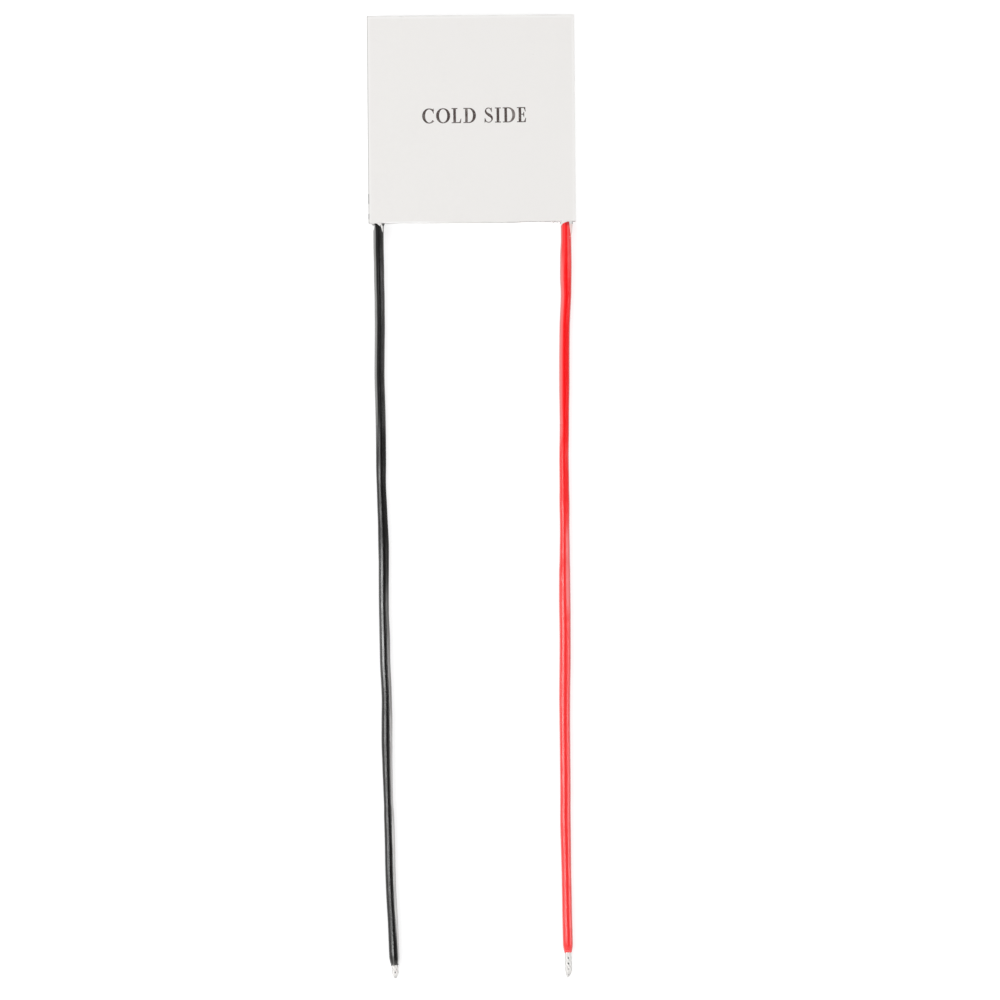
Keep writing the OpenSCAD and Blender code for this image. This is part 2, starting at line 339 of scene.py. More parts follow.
def insulation(name, colour, worn, painted_highlight, reach, matt, cut_y):
    """Extruded PVC: a skin with fine drawing lines, a trace of dust, a torn end and a painted highlight on
    its left side.

    The painted highlight, a pale colour, lies on the upper half, within a reach of the side, and the skin
    loses some sheen by the plates.
    The colour and the sheen are left to the caller, who finds the skin and the gloss to start from here.
    """
    s = Shader(name)
    s.y = s.axes(s.place)[1]
    s.facing_x, _, facing_z = s.axes(s.node("ShaderNodeTexCoord").outputs["Normal"])
    s.upper = s.between(facing_z, 0.08, 0.3)
    dust = s.between(s.noise(0.35 * MM, 4), 0.58, 0.8, 0.0, 0.3)
    near_cut = s.between(s.y, cut_y + 0.2 * MM, cut_y + 1.7 * MM, 1.0, 0.0)
    torn = s.times(near_cut, s.between(s.noise(0.3 * MM, 3), 0.3, 0.65))
    skin = s.mix(s.most(dust, torn), colour, worn)
    # Painted highlight: a pale colour on the upper left side near the plates, for a lamp's reflection.
    on_left = s.between(s.facing_x, reach - 1.32, reach - 1.0, 1.0, 0.0)
    left_side_highlight = s.times(on_left, s.upper, s.between(s.y, -66 * MM, -52 * MM))
    s.skin = s.mix(left_side_highlight, skin, painted_highlight)
    dull = s.times(s.between(s.facing_x, -0.25, -0.05, 1.0, 0.0), s.between(s.y, -64 * MM, -55 * MM))
    s.rough(s.most(s.times(dull, 0.46), s.varied(2.5 * MM, 0.17, 0.27, 3)))
    s.gloss = s.math("SUBTRACT", 0.5, s.times(dull, matt))
    s.bump(s.noise(0.16 * MM, place=s.stretched(1, 0.03, 1)), 0.006 * MM, 0.5)
    s.set(IOR=1.5)
    return s


def black_insulation(cut_y):
    """Black PVC: a painted highlight on the right side of its outer half, a painted highlight streak by the
    cut and an uneven sheen.
    """
    s = insulation(
        "black_pvc",
        colour=(0.0055, 0.0053, 0.0049),
        worn=(0.075, 0.073, 0.070),
        painted_highlight=(0.30, 0.30, 0.295),
        reach=0.6,
        matt=0.4,
        cut_y=cut_y,
    )
    # Painted highlight: a pale band on the upper right side of the outer half, in patches and paler further
    # out; the shift moves its inner edge.
    shift = s.between(s.y, cut_y + 3 * MM, cut_y + 13 * MM, -0.24, -0.02)
    for place, half_l, end, step in NARROWS:
        shift = s.math("ADD", shift, s.between(s.off(s.y, place * MM), half_l * MM, end * MM, step, 0.0))
    right = s.between(s.math("ADD", s.facing_x, shift), 0.36, 0.62)
    side = s.between(s.facing_x, 0.90, 1.0, 1.0, 0.7)
    far = s.between(s.y, -130 * MM, -82 * MM, 1.0, 0.0)
    patches = s.between(s.noise(6 * MM, 3, place=s.stretched(1, 0.35, 1)), 0.25, 0.6, 0.5, 1.0)
    right_side_highlight = s.times(right, side, far, patches, s.upper)
    pale = s.mix(s.between(s.y, -150 * MM, -130 * MM, 1.0, 0.0), (0.54, 0.54, 0.53), (0.80, 0.80, 0.79))
    # Painted highlight: a grey streak just left of the middle, a few millimetres before the cut.
    near_end = s.between(s.y, cut_y + 3 * MM, cut_y + 7 * MM, 0.8, 0.0)
    cut_end_highlight = s.times(near_end, s.between(s.off(s.facing_x, -0.22), 0.08, 0.24, 1.0, 0.0))
    s.colour(s.mix(cut_end_highlight, s.mix(right_side_highlight, s.skin, pale), (0.16, 0.16, 0.155)))
    polished = s.times(
        s.between(s.off(s.y, -96 * MM), 8 * MM, 16 * MM, 0.45, 0.0),
        s.between(s.facing_x, -0.1, 0.1, 1.0, 0.0),
    )
    handled = s.times(
        s.between(s.y, cut_y + 4 * MM, cut_y + 8 * MM, 0.4, 0.0),
        s.between(s.facing_x, 0.2, 0.4),
    )
    quiet = s.times(
        s.stretch(s.y, -92.5 * MM, -88.5 * MM, -62 * MM, -57 * MM),
        s.between(s.facing_x, 0.0, 0.15, 0.0, 0.33),
    )
    s.sheen(s.math("SUBTRACT", s.math("ADD", s.gloss, polished), s.most(handled, quiet)))
    return s.material


def red_insulation(cut_y):
    """Red PVC: paler along its outer half, with painted highlights along both sides and on parts of its
    flanks, and painted shade by the plates.
    """
    worn = (0.97, 0.120, 0.115)
    s = insulation(
        "red_pvc",
        colour=(0.97, 0.008, 0.010),
        worn=worn,
        painted_highlight=(0.70, 0.22, 0.20),
        reach=0.42,
        matt=0.05,
        cut_y=cut_y,
    )
    far = s.between(s.y, -95 * MM, -55 * MM, 0.22, 0.0)
    # Painted highlight: a paler band on the upper right near the plates.
    streak = s.times(
        s.between(s.off(s.facing_x, 0.43), 0.1, 0.28, 0.7, 0.0),
        s.between(s.y, -34 * MM, -27 * MM),
    )
    paler = s.mix(s.most(far, streak), s.skin, worn)
    # Painted highlights: paler pink on the upper sides, on the right flank around y -87 mm and on the left
    # flank between y -64 and -24 mm.
    highlight_along_sides = s.times(s.between(s.off(s.facing_x, 0.0), 0.74, 0.92, 0.0, 0.7), s.upper)
    paler = s.mix(highlight_along_sides, paler, (0.72, 0.25, 0.23))
    right_flank_highlight = s.times(
        s.between(s.off(s.y, -87 * MM), 5 * MM, 10 * MM, 0.65, 0.0),
        s.between(s.off(s.facing_x, 0.5), 0.15, 0.4, 1.0, 0.0),
    )
    paler = s.mix(right_flank_highlight, paler, (0.95, 0.25, 0.25))
    left_flank_highlight = s.times(
        s.stretch(s.y, -64.5 * MM, -60 * MM, -30 * MM, -24 * MM),
        s.between(s.facing_x, -0.9, -0.7),
        s.between(s.facing_x, -0.54, -0.30, 0.5, 0.0),
    )
    paler = s.mix(left_flank_highlight, paler, (0.97, 0.25, 0.25))
    # Painted shade: dark red just past the plates, stronger on the right half.
    at_exit = s.between(s.y, FRONT_Y - 0.9 * MM, FRONT_Y - 0.3 * MM, 0.0, 0.6)
    exit_shade = s.times(at_exit, s.between(s.facing_x, -0.2, 0.2, 0.2, 1.0))
    s.colour(s.mix(exit_shade, paler, (0.40, 0.02, 0.03)))
    quiet = 0.0
    for start, end, facing in QUIET:
        along = s.stretch(s.y, start * MM, (start + 5) * MM, (end - 5) * MM, end * MM)
        quiet = s.most(quiet, s.times(along, s.between(s.facing_x, facing, facing + 0.2, 0.0, 0.3)))
    s.sheen(s.math("SUBTRACT", s.gloss, quiet))
    return s.material


def tinned():
    """Tinned copper strands: pale and matt, with small dull patches."""
    s = Shader("tinned_copper")
    dull = s.between(s.noise(0.5 * MM, 3), 0.4, 0.75)
    s.colour(s.mix(dull, (0.86, 0.85, 0.83), (0.66, 0.65, 0.63)))
    s.rough(s.varied(0.3 * MM, 0.42, 0.56))
    s.bump(s.noise(0.2 * MM), 0.01 * MM, 0.4)
    s.set(Metallic=0.5)
    return s.material


def tinned_end(name, end, heading, across, up, bare, first_hollow, hollow_shade_depth):
    """Tinned strands of a stripped end, with dull patches: darker at the nose, with painted shade on both
    sides and in the hollows on top.
    """
    s = Shader(name)
    along = s.distance(end, heading)
    off_side = s.off(s.distance(end, across), 0.0)
    patches = s.between(s.noise(0.5 * MM, 3), 0.45, 0.75, 0.0, 0.4)
    nose = s.between(along, bare - 1.2 * MM, bare - 0.3 * MM, 0.0, 0.5)
    # Painted shade: the strands darken towards both sides.
    sides = s.between(off_side, 0.55 * CONDUCTOR_R, 0.95 * CONDUCTOR_R)
    pale = s.mix(s.most(patches, nose, sides), (0.89, 0.875, 0.855), (0.64, 0.63, 0.615))
    pitch = STRAND_LAY / STRANDS
    # Painted shade: dark grey in the hollows between strands, along the middle of the top.
    off_hollow = s.math("PINGPONG", s.math("SUBTRACT", along, first_hollow), pitch / 2)
    in_hollow = s.between(off_hollow, 0.08 * MM, 0.24 * MM, hollow_shade_depth, 0.0)
    in_middle = s.between(off_side, 0.07 * MM, 0.21 * MM, 1.0, 0.0)
    on_top = s.between(s.distance(end, up), 0.2 * CONDUCTOR_R, 0.4 * CONDUCTOR_R)
    left_over = s.between(s.off(along, 1.8 * MM), 0.3 * MM, 1.6 * MM, 1.0, 0.4)
    past_cut = s.between(along, 0.35 * MM, 0.7 * MM)
    before_nose = s.between(along, bare - 0.6 * MM, bare - 0.2 * MM, 1.0, 0.35)
    hollow_shade = s.times(in_hollow, in_middle, on_top, left_over, past_cut, before_nose)
    s.colour(s.mix(hollow_shade, pale, (0.10, 0.095, 0.09)))
    s.rough(s.varied(0.3 * MM, 0.42, 0.56))
    s.bump(s.noise(0.2 * MM), 0.01 * MM, 0.4)
    s.set(Metallic=0.3)
    return s.material


def thin_film():
    """A smear of sealant thin enough for the red insulation to tint it."""
    s = Shader("sealant_film_on_red")
    s.colour(s.mix(s.noise(0.3 * MM, 3), (0.98, 0.34, 0.30), (0.99, 0.58, 0.53)))
    s.rough(s.varied(0.4 * MM, 0.3, 0.45))
    s.set(IOR=1.41)
    return s.material


def solder():
    """Solder: grey and slightly rippled."""
    s = Shader("solder")
    s.colour(s.mix(s.noise(0.6 * MM, 3), (0.55, 0.55, 0.55), (0.74, 0.74, 0.73)))
    s.rough(s.varied(0.4 * MM, 0.28, 0.45))
    s.bump(s.noise(0.35 * MM), 0.02 * MM, 0.5)
    s.set(Metallic=1.0)
    return s.material


def copper():
    """Etched copper tabs with light tarnish."""
    s = Shader("copper")
    tarnish = s.between(s.noise(1.6 * MM, 4), 0.4, 0.75)
    s.colour(s.mix(tarnish, (0.80, 0.42, 0.27), (0.46, 0.22, 0.13)))
    s.rough(s.varied(0.5 * MM, 0.28, 0.42))
    s.set(Metallic=1.0)
    return s.material


def telluride(name, dark, light):
    """Bismuth telluride: a grey semi-metal with flat crystal grains."""
    s = Shader(name)
    s.colour(s.mix(s.cells(0.35 * MM)["Color"], dark, light))
    s.rough(s.varied(0.4 * MM, 0.35, 0.5))
    s.set(Metallic=0.8)
    return s.material


def ink():
    """Stamped dark brown ink, thin in places."""
    s = Shader("stamped_ink")
    faded = s.between(s.noise(1.8 * MM, 3), 0.48, 0.75, 0.0, 0.4)
    flecks = s.between(s.noise(0.22 * MM, 3), 0.58, 0.68, 0.0, 0.5)
    s.colour(s.mix(s.most(faded, flecks), (0.055, 0.036, 0.032), (0.50, 0.47, 0.45)))
    s.set(Roughness=0.55)
    return s.material


CERAMIC = ceramic()
SEALANT = sealant()
BLACK_PVC = black_insulation(FRONT_Y - BLACK_ROUTE[-1][1] * MM)
RED_PVC = red_insulation(FRONT_Y - RED_ROUTE[-1][1] * MM)
TINNED = tinned()
FILM = thin_film()
SOLDER = solder()
COPPER = copper()
P_TELLURIDE = telluride("p_telluride", (0.17, 0.18, 0.20), (0.27, 0.28, 0.31))
N_TELLURIDE = telluride("n_telluride", (0.27, 0.27, 0.29), (0.40, 0.40, 0.43))
INK = ink()


# Meshes

def piece(name, points, faces, material, smooth=True):
    """A closed mesh with its faces turned outwards, on the part's body."""
    mesh = bpy.data.meshes.new(name)
    mesh.from_pydata(points, [], faces)
    turned = bmesh.new()
    turned.from_mesh(mesh)
    bmesh.ops.recalc_face_normals(turned, faces=turned.faces)
    turned.to_mesh(mesh)
    turned.free()
    mesh.materials.append(material)
    mesh.polygons.foreach_set("use_smooth", [smooth] * len(mesh.polygons))
    mesh.update()
    made = bpy.data.objects.new(name, mesh)
    bpy.context.scene.collection.objects.link(made)
    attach(made, "root")
    return made


class Shell:
    """Points and faces gathered from several lofts, to make one piece."""

    def __init__(self):
        self.points = []
        self.faces = []

    def loft(self, rings, capped=True, closed=False):
        """Joins closed rings of equal length in turn, with caps or with the last back to the first."""
        n = len(rings[0])
        first = len(self.points)
        for r in rings:
            self.points.extend(r)
        spans = len(rings) if closed else len(rings) - 1
        for i in range(spans):
            a, b = first + i * n, first + (i + 1) % len(rings) * n
            for k in range(n):
                m = (k + 1) % n
                self.faces.append((a + k, a + m, b + m, b + k))
        if capped and not closed:
            last = first + (len(rings) - 1) * n
            self.faces.append(tuple(range(first + n - 1, first - 1, -1)))
            self.faces.append(tuple(range(last, last + n)))


def frame_along(points, i):
    """Heading at a point of a path, with the directions sideways and up across it."""
    heading = (points[min(i + 1, len(points) - 1)] - points[max(i - 1, 0)]).normalized()
    side = heading.cross(Vector((0, 0, 1))).normalized()
    return heading, side, side.cross(heading)


def smooth_path(points, step):
    """A Catmull-Rom curve through the points, cut into steps of about that length."""
    out = []
    ends = [2 * points[0] - points[1], *points, 2 * points[-1] - points[-2]]
    for a, b, c, d in zip(ends, ends[1:], ends[2:], ends[3:]):
        count = max(1, round((c - b).length / step))
        for k in range(count):
            t = k / count
            linear = (c - a) * t
            square = (2 * a - 5 * b + 4 * c - d) * t * t
            cube = (3 * b - a - 3 * c + d) * t**3
            out.append(0.5 * (2 * b + linear + square + cube))
    return [*out, points[-1]]


def ripple(*place):
    """Smooth noise about 0, the same each run."""
    return noise.noise(Vector(place))


# Leads

def lead_path(side, route):
    """A lead's middle line, from its start between the plates to the cut of its insulation."""
    rise = LEAD_Z - LEAD_R
    points = [Vector((side * LEAD_X, LEAD_START_Y, LEAD_Z))]
    for x, far, lift in route:
        points.append(Vector((side * LEAD_X + x * MM, FRONT_Y - far * MM, LEAD_R + lift * rise)))
    return smooth_path(points, PATH_STEP)


def eased(rows, x):
    """The value at x from rows of place and value, eased between rows and level past the ends."""
    for (x0, v0), (x1, v1) in zip(rows, rows[1:]):
        if x0 <= x <= x1:
            t = (x - x0) / (x1 - x0)
            return v0 + (v1 - v0) * t * t * (3 - 2 * t)
    return rows[0][1] if x < rows[0][0] else rows[-1][1]


def lead(name, side, route, girths, flare, swelling, material, node, seed):
    """Insulation: an uneven tube that narrows to a ragged cut where it was stripped.

    It is a little flared at its exit, and may swell on its left side soon after.
    """
    sides, cut_l, cut_share, ragged_l = 28, 1.7 * MM, 0.72, 0.22 * MM
    flare_l, swell_at, swell_l = 0.35 * MM, 8.5 * MM, 4 * MM
    oval_share, oval_turn, uneven_share, uneven_pace = 0.010, 0.11, 0.010, 0.22
    path = lead_path(side, route)
    rings = []
    for i, centre in enumerate(path):
        heading, across, up = frame_along(path, i)
        along = i * PATH_STEP / MM
        past = FRONT_Y - centre.y
        girth = eased(girths, past / MM)
        to_end = min(1.0, (path[-1] - centre).length / cut_l)
        taper = cut_share + (1 - cut_share) * math.sin(to_end * math.pi / 2)
        flared = flare * math.exp(-max(0.0, past) / flare_l)
        swollen = swelling * math.exp(-(((past - swell_at) / swell_l) ** 4))
        ring = []
        for k in range(sides):
            a = 2 * math.pi * k / sides
            oval = oval_share * math.cos(2 * a - along * oval_turn - seed)
            uneven = uneven_share * ripple(math.cos(a) * 0.8 + seed, math.sin(a) * 0.8, along * uneven_pace)
            wide = flared * math.cos(a) ** 2
            swell = swollen * max(0.0, math.cos(a))
            r = LEAD_R * taper * (girth + oval + uneven + wide + swell)
            spot = centre + r * (math.cos(a) * across + math.sin(a) * up)
            if i == len(path) - 1:
                spot += ragged_l * ripple(math.cos(a) * 2, math.sin(a) * 2, seed) * heading
            spot.z = max(spot.z, 0.0)
            ring.append(spot)
        rings.append(ring)
    shell = Shell()
    shell.loft(rings)
    made = piece(name, shell.points, shell.faces, material)
    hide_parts(node)
    return made, path


def tip(name, path, bare, node, seed, lean, hollow_shade_depth):
    """Stripped end: strands twisted together, tinned, and drawn in to a rough point."""
    sides, steps, inside, nose_l, uneven_l = 12, 44, 0.6 * MM, 1.1 * MM, 0.7 * MM
    drawn_in, thin_from, thinned, last_share = 0.8, 0.75, 0.5, 0.5
    strand_r = CONDUCTOR_R / 3
    heading, across, up = frame_along(path, len(path) - 1)
    first_hollow = STRAND_LAY * (0.25 - seed / (2 * math.pi) + 0.5 / STRANDS)
    finish = tinned_end(name + "_tin", path[-1], heading, across, up, bare, first_hollow, hollow_shade_depth)
    shell = Shell()
    for s in range(STRANDS + 1):
        swing = 0 if s == STRANDS else CONDUCTOR_R - strand_r
        short = 0 if s == STRANDS else uneven_l * abs(ripple(s * 1.7, seed, 0.3))
        rings = []
        line = []
        for i in range(steps + 1):
            along = -inside + (inside + bare - short) * i / steps
            drawn = max(0.0, min(1.0, (along - (bare - nose_l)) / nose_l))
            turn = 2 * math.pi * (along / STRAND_LAY + s / STRANDS) + seed
            radius = swing * (1 - drawn_in * drawn)
            middle = path[-1] + along * heading + lean * drawn**1.5 * across
            line.append(middle + radius * (math.cos(turn) * across + math.sin(turn) * up))
        for i, centre in enumerate(line):
            _, u, v = frame_along(line, i)
            drawn = max(0.0, (i / steps - thin_from) / (1 - thin_from))
            r = strand_r * (1 - thinned * drawn**2) * (last_share if i == steps else 1)
            ring = []
            for k in range(sides):
                a = 2 * math.pi * k / sides
                ring.append(centre + r * (math.cos(a) * u + math.sin(a) * v))
            rings.append(ring)
        shell.loft(rings)
    shell.loft(tin_fill(path[-1], heading, across, up, bare - nose_l * 0.3, seed))
    made = piece(name, shell.points, shell.faces, finish)
    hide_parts(node)
    return made


def tin_fill(end, heading, across, up, length, seed):
    """Rings of the tin that has run between the strands, deeper in some hollows than in others."""
    sides, steps, share, uneven_share, drained_share = 24, 24, 0.74, 0.10, 0.16
    thin_from, thinned = 0.75, 0.6
    rings = []
    for i in range(steps + 1):
        along = length * i / steps
        drawn = max(0.0, (i / steps - thin_from) / (1 - thin_from))
        ring = []
        for k in range(sides):
            a = 2 * math.pi * k / sides
            uneven = uneven_share * ripple(math.cos(a) * 1.5 + seed, math.sin(a) * 1.5, along / MM)
            drained = drained_share * max(0.0, math.sin(a)) ** 6
            r = CONDUCTOR_R * (share + uneven - drained) * (1 - thinned * drawn)
            ring.append(end + along * heading + r * (math.cos(a) * across + math.sin(a) * up))
        rings.append(ring)
    return rings


black, black_path = lead(
    "black_lead_insulation",
    side=-1,
    route=BLACK_ROUTE,
    girths=BLACK_GIRTH,
    flare=0.25,
    swelling=0.0,
    material=BLACK_PVC,
    node="black_lead",
    seed=0.4,
)
red, red_path = lead(
    "red_lead_insulation",
    side=1,
    route=RED_ROUTE,
    girths=RED_GIRTH,
    flare=0.05,
    swelling=0.15,
    material=RED_PVC,
    node="red_lead",
    seed=2.1,
)
black_tip = tip(
    "black_lead_strands", black_path, BLACK_BARE, "black_lead_tip", seed=0.76, lean=0.06 * MM, hollow_shade_depth=0.6
)
red_tip = tip("red_lead_strands", red_path, RED_BARE, "red_lead_tip", seed=1.04, lean=0.3 * MM, hollow_shade_depth=0.95)


# Ceramic plates

# Chips: place round the rim in sides, counted from the front left corner, length and depth in millimetres
COLD_CHIPS = [(1.62, 0.5, 0.12), (2.83, 0.6, 0.14)]
HOT_CHIPS = [(1.4, 0.8, 0.2), (2.7, 0.6, 0.15)]

# Corners of a square in the order of its sides, from the front one towards the right
CORNERS = [(-1, -1), (1, -1), (1, 1), (-1, 1)]


def off_square(x):
    """How far the front edges lie back from square at a place along them."""
    start, length, most = 7, 4, 0.14 * MM
    t = max(0.0, min(1.0, (x / MM - start) / length))
    return most * t * t * (3 - 2 * t)


def snapped_plate(name, node, low, high, chips, seed):
    """A plate scored and snapped from a larger sheet: rough edges, with a few chips on the upper rim."""
    per_side, bevel = 200, 0.04 * MM
    levels = [(0, bevel), (0.12, 0), (0.45, 0), (0.55, 0), (0.88, 0), (1, bevel)]
    lower_rough, upper_rough = 0.035, 0.015
    chip_from, chip_below, chip_drop = 0.8, 0.45, 0.3
    face = 1 - 1.0 * MM / HALF_PLATE
    thick = high.z - low.z
    rings = []
    for share, inset in levels:
        ring = []
        for s in range(4):
            (x0, y0), (x1, y1) = CORNERS[s], CORNERS[(s + 1) % 4]
            for k in range(per_side):
                t = k / per_side
                spot = s + t
                rough = lower_rough if share < 0.5 else upper_rough
                bite = rough * abs(ripple(spot * 90, share * 6, seed)) * MM
                drop = 0.0
                for place, length, depth in chips:
                    far = abs((spot - place + 2) % 4 - 2) * 2 * HALF_PLATE / (length * MM)
                    if far < 1 and share > chip_from:
                        bite += depth * MM * (1 - far * far) * (1 if share == 1 else chip_below)
                        drop = max(drop, chip_drop * depth * MM * (1 - far * far))
                x, y = x0 + (x1 - x0) * t, y0 + (y1 - y0) * t
                reach = HALF_PLATE - inset - bite
                z = low.z + thick * share - (drop if share == 1 else 0)
                across, along = (max(-reach, min(reach, v * HALF_PLATE)) for v in (x, y))
                if s == 0 or (s == 1 and k == 0):
                    along += off_square(across)
                ring.append(Vector((across, along, z)))
        rings.append(ring)
    underside = [Vector((p.x * face, p.y * face, low.z)) for p in rings[0]]
    upper_face = [Vector((p.x * face, p.y * face, high.z)) for p in rings[0]]
    shell = Shell()
    shell.loft([underside, *rings, upper_face])
    made = piece(name, shell.points, shell.faces, CERAMIC, smooth=False)
    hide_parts(node)


snapped_plate("cold_plate_ceramic", "cold_plate", cold_low, cold_high, COLD_CHIPS, seed=0.0)
snapped_plate("hot_plate_ceramic", "hot_plate", hot_low, hot_high, HOT_CHIPS, seed=5.0)


# Sealant

# Lumps of the sealant's front side in millimetres: place along it, half length and height
LUMPS = [(-18.8, 1.0, 0.92), (15.5, 0.5, 0.62), (16.15, 0.6, 0.78), (17.0, 0.45, 0.72), (19.55, 0.45, 0.7)]


def seal_ring():
    """A lumpy bead, hollowed on the outside, that fills the gap round all four sides."""
    per_side, levels, dish, squareness = 160, 9, 0.22 * MM, 50
    furthest, lump_h, uneven_h = HALF_PLATE + 0.28 * MM, 0.25, 0.05
    sections = []
    for s in range(4):
        (x0, y0), (x1, y1) = CORNERS[s], CORNERS[(s + 1) % 4]
        for k in range(per_side):
            t = k / per_side
            x, y = x0 + (x1 - x0) * t, y0 + (y1 - y0) * t
            round_off = (abs(x) ** squareness + abs(y) ** squareness) ** (-1 / squareness)
            along = (2 * t - 1) * HALF_PLATE / MM
            lump = 0.0 if s == 0 else lump_h * max(0.0, ripple(x * 9 + 3, y * 9, 0.5))
            for place, half_l, height in LUMPS:
                far = abs(along - place) / half_l
                if s == 0 and far < 1:
                    lump += height * (1 - far * far) ** 1.5 * (0.8 + 0.9 * ripple(along * 2.1, 4.0, 1.0))
            section = [Vector((x * SEAL_IN, y * SEAL_IN, GAP_LOW))]
            for j in range(levels):
                up = j / (levels - 1)
                belly = 1 - (2 * up - 1) ** 2
                uneven = uneven_h * ripple(x * 15, y * 15, up * 2) * MM
                reach = SEAL_OUT - dish * belly + uneven + lump * MM * belly
                reach = min(reach, furthest) * round_off
                back = off_square(x * reach) if s == 0 or (s == 1 and k == 0) else 0
                section.append(Vector((x * reach, y * reach + back, GAP_LOW + (GAP_HIGH - GAP_LOW) * up)))
            section.append(Vector((x * SEAL_IN, y * SEAL_IN, GAP_HIGH)))
            sections.append(section)
    return sections


def spread(table, a):
    """The value at an angle in degrees from rows of angle and value that go once round."""
    return eased([*table, (table[0][0] + 360, table[0][1])], a % 360)


def collar(path, reach, thick, seed):
    """Rings of sealant round a lead: each angle has its own reach past the plates and its own thickness.

    Angles go from the left, 0, over the top, 90, to the right, 180.
    """
    sides, steps, inner, sunk = 48, 14, 0.8, 0.03
    rag_share, uneven_share = 0.35, 0.3
    start = path[0]
    rings = []
    for j in range(steps + 1):
        t = j / steps
        ring = []
        for k in range(sides):
            a = 360 * k / sides
            rag = 1 + rag_share * ripple(a * 0.04, seed, 1.5)
            far = -inner + (inner + spread(reach, a) * rag) * t
            spot = Vector((start.x, FRONT_Y - far * MM, LEAD_Z))
            uneven = 1 + uneven_share * ripple(a * 0.05, far * 2, seed)
            skin = spread(thick, a) * (1 - t**3) * uneven - sunk * t**6
            r = LEAD_R + skin * MM
            turn = math.radians(a)
            ring.append(spot + r * Vector((-math.cos(turn), 0, math.sin(turn))))
        rings.append(ring)
    return rings


def spot_past_plates(path, far):
    """The point of a lead's path at a distance past the plates, in millimetres."""
    y = FRONT_Y - far * MM
    for a, b in zip(path, path[1:]):
        if b.y <= y <= a.y:
            return a.lerp(b, (a.y - y) / (a.y - b.y))


def smear(path, rows):
    """Rings of a thin streak on a lead, one for each row."""
    sides, lift, sunk = 12, 0.025 * MM, 0.01 * MM
    rings = []
    for far, a, half_w in rows:
        centre = spot_past_plates(path, far)
        ring = []
        for k in range(sides):
            turn = 2 * math.pi * k / sides
            swing = math.radians(a) + math.cos(turn) * half_w * MM / LEAD_R
            r = LEAD_R + lift * math.sin(turn) - sunk
            ring.append(centre + r * Vector((-math.cos(swing), 0, math.sin(swing))))
        rings.append(ring)
    return rings


# Collars of sealant: angle in degrees, reach past the plates or thickness in millimetres
BLACK_REACH = [
    (0, 1.7), (15, 1.6), (30, 1.2), (44, 0.7), (58, 0.1), (70, 0.1), (90, 0.25), (104, 0.45), (113, 0.3),
    (126, 1.0), (142, 1.9), (158, 0.7), (180, 0.2), (270, 0.5), (320, 1.2),
]
BLACK_THICK = [(0, 0.10), (60, 0.10), (110, 0.12), (140, 0.04), (180, 0.05), (215, 0.15), (270, 0.15)]
RED_REACH = [
    (0, 0.9), (25, 0.85), (60, 0.5), (90, 0.2), (112, 0.05), (126, 0.1),
    (138, 1.2), (150, 2.2), (175, 2.4), (200, 1.4), (270, 0.5),
]
RED_THICK = [
    (0, 0.15), (60, 0.10), (100, 0.08), (140, 0.06), (165, 0.29), (190, 0.32), (215, 0.2), (270, 0.15),
]

# Smear on the red lead: distance past the plates in millimetres, angle in degrees, half width in millimetres
RED_STREAK = [
    (2.2, 163, 0.06), (2.5, 150, 0.20), (2.85, 138, 0.26), (3.2, 127, 0.24), (3.55, 117, 0.16),
    (3.8, 110, 0.05),
]

seal_shell = Shell()
seal_shell.loft(seal_ring(), closed=True)
seal_shell.loft(collar(black_path, BLACK_REACH, BLACK_THICK, 0.7))
seal_shell.loft(collar(red_path, RED_REACH, RED_THICK, 3.2))
seal = piece("perimeter_sealant", seal_shell.points, seal_shell.faces, SEALANT)
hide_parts("perimeter_seal")

film_shell = Shell()
film_shell.loft(smear(red_path, RED_STREAK))
piece("red_lead_smear", film_shell.points, film_shell.faces, FILM)


# Lettering: plain serif capitals drawn with bars and pen strokes, in units of their height

STEM, HAIR, ROUND, SERIF, SPACE = 0.175, 0.06, 0.20, 0.11, 0.30


def bar(x0, y0, x1, y1):
    return [(x0, y0), (x1, y0), (x1, y1), (x0, y1)]


def stroke(points, widths):
    """Quads along a line of points, each end of a quad as wide as the pen is there."""
    sides = []
    for i, (x, y) in enumerate(points):
        (xa, ya), (xb, yb) = points[max(i - 1, 0)], points[min(i + 1, len(points) - 1)]
        long = math.hypot(xb - xa, yb - ya)
        nx, ny = -(yb - ya) / long * widths[i] / 2, (xb - xa) / long * widths[i] / 2
        sides.append(((x + nx, y + ny), (x - nx, y - ny)))
    return [[b0, b1, a1, a0] for (a0, b0), (a1, b1) in zip(sides, sides[1:])]


def bowl(x, rx, start, end):
    """Part of an oval of full height round x, heavy at its sides, from one angle in degrees to another."""
    steps, swelling = 40, 1.6
    points, widths = [], []
    for i in range(steps + 1):
        a = math.radians(start + (end - start) * i / steps)
        points.append((x + rx * math.cos(a), 0.5 + (0.5 - HAIR / 2) * math.sin(a)))
        widths.append(HAIR + (ROUND - HAIR) * abs(math.cos(a)) ** swelling)
    return stroke(points, widths)


def upright(x):
    """A stem with its serifs at the top and the foot."""
    feet = [bar(x - SERIF, y, x + STEM + SERIF, y + HAIR) for y in (0, 1 - HAIR)]
    return [bar(x, 0, x + STEM, 1), *feet]


def arm(x0, x1, y, flare):
    """A thin arm with a flared end that points up or down."""
    low, high = min(y, y + HAIR * flare), max(y, y + HAIR * flare)
    wedge = [(x1 - 0.11, y), (x1 + 0.01, y), (x1 + 0.04, y + 0.29 * flare), (x1 + 0.005, y + 0.29 * flare)]
    return [bar(x0, low, x1, high), wedge if flare > 0 else wedge[::-1]]


def letter_c():
    beak = [(0.70, 0.99), (0.735, 0.99), (0.745, 0.66), (0.712, 0.66), (0.655, 0.80)]
    return [*bowl(0.44, 0.37, 44, 318), beak[::-1]], 0.80


def letter_o():
    return bowl(0.44, 0.37, 0, 360), 0.88


